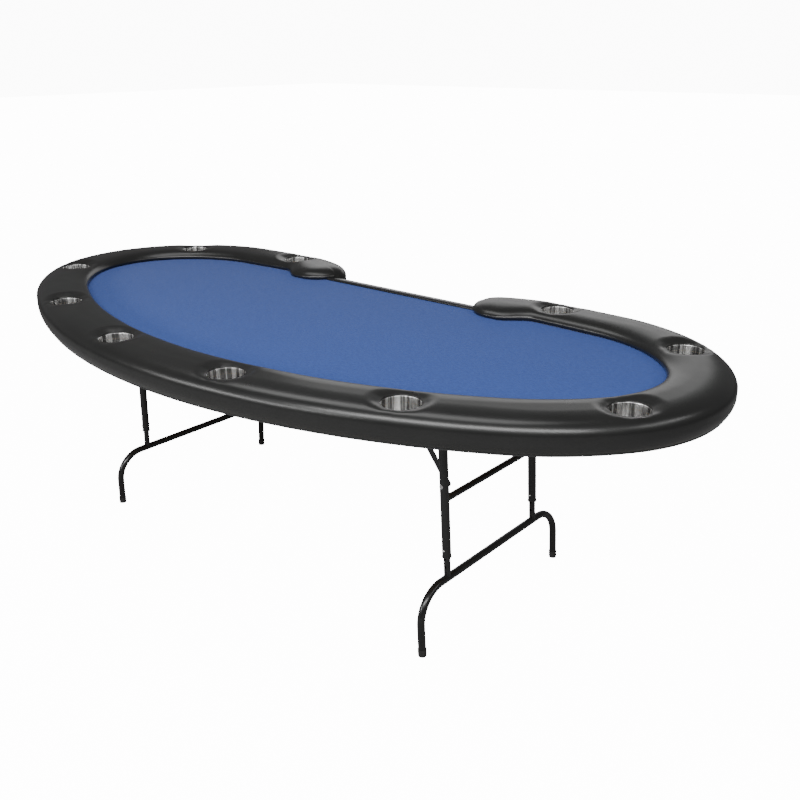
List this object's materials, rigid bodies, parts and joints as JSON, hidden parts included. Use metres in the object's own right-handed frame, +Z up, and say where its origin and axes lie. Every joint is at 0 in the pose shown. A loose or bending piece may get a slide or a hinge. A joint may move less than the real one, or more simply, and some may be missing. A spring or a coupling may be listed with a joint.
{
  "type": "folding poker table",
  "caption": "Oval poker table with a padded rail, drop-in cup holders, a blue cloth, a straight dealer's edge and folding, height-adjustable legs.",
  "frame": {"origin": "on the floor, under the middle of the oval, within 5 mm of the middle of the table's box", "axes": "+X along the table, +Y towards the dealer's straight edge, +Z up"},
  "size_m": [2.5498, 1.2059, 0.775],
  "materials": {
    "plywood": "sanded birch plywood",
    "apron_black": "black stained, satin",
    "foam": "closed-cell foam",
    "speed_cloth": "blue woven playing cloth",
    "rail_vinyl": "semi-gloss black vinyl",
    "edge_vinyl": "glossy black vinyl",
    "stainless": "polished, drawn",
    "zinc_steel": "zinc plated",
    "button_steel": "nickel plated",
    "bushing_plastic": "moulded",
    "foot_rubber": "moulded",
    "leg_enamel": "gloss black powder coat"
  },
  "bodies": {
    "table_top": {"table_board": "plywood", "cloth_underlay": "foam", "playing_cloth": "speed_cloth", "edge_apron": "apron_black", "dealer_apron": "apron_black", "rail_base": "plywood", "rail_foam": "foam", "rail_cover": "rail_vinyl", "dealer_edge_trim": "edge_vinyl", "rail_bolts": "zinc_steel", "right_spacer_blocks": "plywood", "bracket_screws": "zinc_steel", "cup_holder_01": "stainless", "cup_holder_02": "stainless", "cup_holder_03": "stainless", "cup_holder_04": "stainless", "cup_holder_05": "stainless", "cup_holder_06": "stainless", "cup_holder_07": "stainless", "cup_holder_08": "stainless", "cup_holder_09": "stainless", "cup_holder_10": "stainless", "left_hinge_brackets": "leg_enamel", "right_hinge_brackets": "leg_enamel", "left_stay_brackets": "leg_enamel", "right_stay_brackets": "leg_enamel"},
    "left_leg": {"left_pivot_tube": "leg_enamel", "left_front_post": "leg_enamel", "left_back_post": "leg_enamel", "left_crossbar": "leg_enamel", "left_slide_bushings": "bushing_plastic", "left_stay_rivets": "zinc_steel"},
    "left_foot": {"left_foot_bar": "leg_enamel", "left_front_height_tube": "leg_enamel", "left_back_height_tube": "leg_enamel", "left_foot_caps": "foot_rubber"},
    "left_lower_stay": {"left_lower_stays": "leg_enamel", "left_knuckle_rivets": "zinc_steel"},
    "left_upper_stay": {"left_upper_stays": "leg_enamel"},
    "left_front_outer_button_body": {"left_front_outer_button": "button_steel"},
    "left_front_inner_button_body": {"left_front_inner_button": "button_steel"},
    "left_back_inner_button_body": {"left_back_inner_button": "button_steel"},
    "left_back_outer_button_body": {"left_back_outer_button": "button_steel"},
    "right_leg": {"right_pivot_tube": "leg_enamel", "right_front_post": "leg_enamel", "right_back_post": "leg_enamel", "right_crossbar": "leg_enamel", "right_slide_bushings": "bushing_plastic", "right_stay_rivets": "zinc_steel"},
    "right_foot": {"right_foot_bar": "leg_enamel", "right_front_height_tube": "leg_enamel", "right_back_height_tube": "leg_enamel", "right_foot_caps": "foot_rubber"},
    "right_lower_stay": {"right_lower_stays": "leg_enamel", "right_knuckle_rivets": "zinc_steel"},
    "right_upper_stay": {"right_upper_stays": "leg_enamel"},
    "right_front_outer_button_body": {"right_front_outer_button": "button_steel"},
    "right_front_inner_button_body": {"right_front_inner_button": "button_steel"},
    "right_back_inner_button_body": {"right_back_inner_button": "button_steel"},
    "right_back_outer_button_body": {"right_back_outer_button": "button_steel"}
  },
  "joints": [
    {"name": "left_leg_fold", "type": "hinge", "parent": "table_top", "child": "left_leg", "pos_m": [-0.65618, 0.0436, 0.7], "axis": [0, -1, 0], "range_deg": [0, 93.15]},
    {"name": "left_height", "type": "slide", "parent": "left_leg", "child": "left_foot", "axis": [-0.055, 0, -0.9985], "range_m": [-0.05, 0.1]},
    {"name": "left_lower_stay_swing", "type": "hinge", "parent": "left_leg", "child": "left_lower_stay", "pos_m": [-0.66971, 0.0436, 0.454], "axis": [0, -1, 0], "range_deg": [0, 30.49]},
    {"name": "left_upper_stay_swing", "type": "hinge", "parent": "table_top", "child": "left_upper_stay", "pos_m": [-0.50618, 0.0436, 0.7], "axis": [0, 1, 0], "range_deg": [0, 56.4]},
    {"name": "left_front_outer_button_press", "type": "slide", "parent": "left_leg", "child": "left_front_outer_button_body", "axis": [0, 1, 0], "range_m": [0, 0.0035], "stiffness_N_per_m": 400},
    {"name": "left_front_inner_button_press", "type": "slide", "parent": "left_leg", "child": "left_front_inner_button_body", "axis": [0, -1, 0], "range_m": [0, 0.0035], "stiffness_N_per_m": 400},
    {"name": "left_back_inner_button_press", "type": "slide", "parent": "left_leg", "child": "left_back_inner_button_body", "axis": [0, 1, 0], "range_m": [0, 0.0035], "stiffness_N_per_m": 400},
    {"name": "left_back_outer_button_press", "type": "slide", "parent": "left_leg", "child": "left_back_outer_button_body", "axis": [0, -1, 0], "range_m": [0, 0.0035], "stiffness_N_per_m": 400},
    {"name": "right_leg_fold", "type": "hinge", "parent": "table_top", "child": "right_leg", "pos_m": [0.65783, 0.0436, 0.67], "axis": [0, 1, 0], "range_deg": [0, 93.15]},
    {"name": "right_height", "type": "slide", "parent": "right_leg", "child": "right_foot", "axis": [0.055, 0, -0.9985], "range_m": [-0.05, 0.1]},
    {"name": "right_lower_stay_swing", "type": "hinge", "parent": "right_leg", "child": "right_lower_stay", "pos_m": [0.66971, 0.0436, 0.454], "axis": [0, 1, 0], "range_deg": [0, 33.72]},
    {"name": "right_upper_stay_swing", "type": "hinge", "parent": "table_top", "child": "right_upper_stay", "pos_m": [0.50783, 0.0436, 0.67], "axis": [0, -1, 0], "range_deg": [0, 53.17]},
    {"name": "right_front_outer_button_press", "type": "slide", "parent": "right_leg", "child": "right_front_outer_button_body", "axis": [0, 1, 0], "range_m": [0, 0.0035], "stiffness_N_per_m": 400},
    {"name": "right_front_inner_button_press", "type": "slide", "parent": "right_leg", "child": "right_front_inner_button_body", "axis": [0, -1, 0], "range_m": [0, 0.0035], "stiffness_N_per_m": 400},
    {"name": "right_back_inner_button_press", "type": "slide", "parent": "right_leg", "child": "right_back_inner_button_body", "axis": [0, 1, 0], "range_m": [0, 0.0035], "stiffness_N_per_m": 400},
    {"name": "right_back_outer_button_press", "type": "slide", "parent": "right_leg", "child": "right_back_outer_button_body", "axis": [0, -1, 0], "range_m": [0, 0.0035], "stiffness_N_per_m": 400}
  ],
  "couplings": [
    {"joint": "left_lower_stay_swing", "follows": "left_leg_fold", "ratio": 0.32706},
    {"joint": "left_upper_stay_swing", "follows": "left_leg_fold", "ratio": 0.60531},
    {"joint": "left_front_inner_button_press", "follows": "left_front_outer_button_press", "ratio": 1},
    {"joint": "left_back_inner_button_press", "follows": "left_back_outer_button_press", "ratio": 1},
    {"joint": "right_lower_stay_swing", "follows": "right_leg_fold", "ratio": 0.36179},
    {"joint": "right_upper_stay_swing", "follows": "right_leg_fold", "ratio": 0.57058},
    {"joint": "right_front_inner_button_press", "follows": "right_front_outer_button_press", "ratio": 1},
    {"joint": "right_back_inner_button_press", "follows": "right_back_outer_button_press", "ratio": 1}
  ]
}
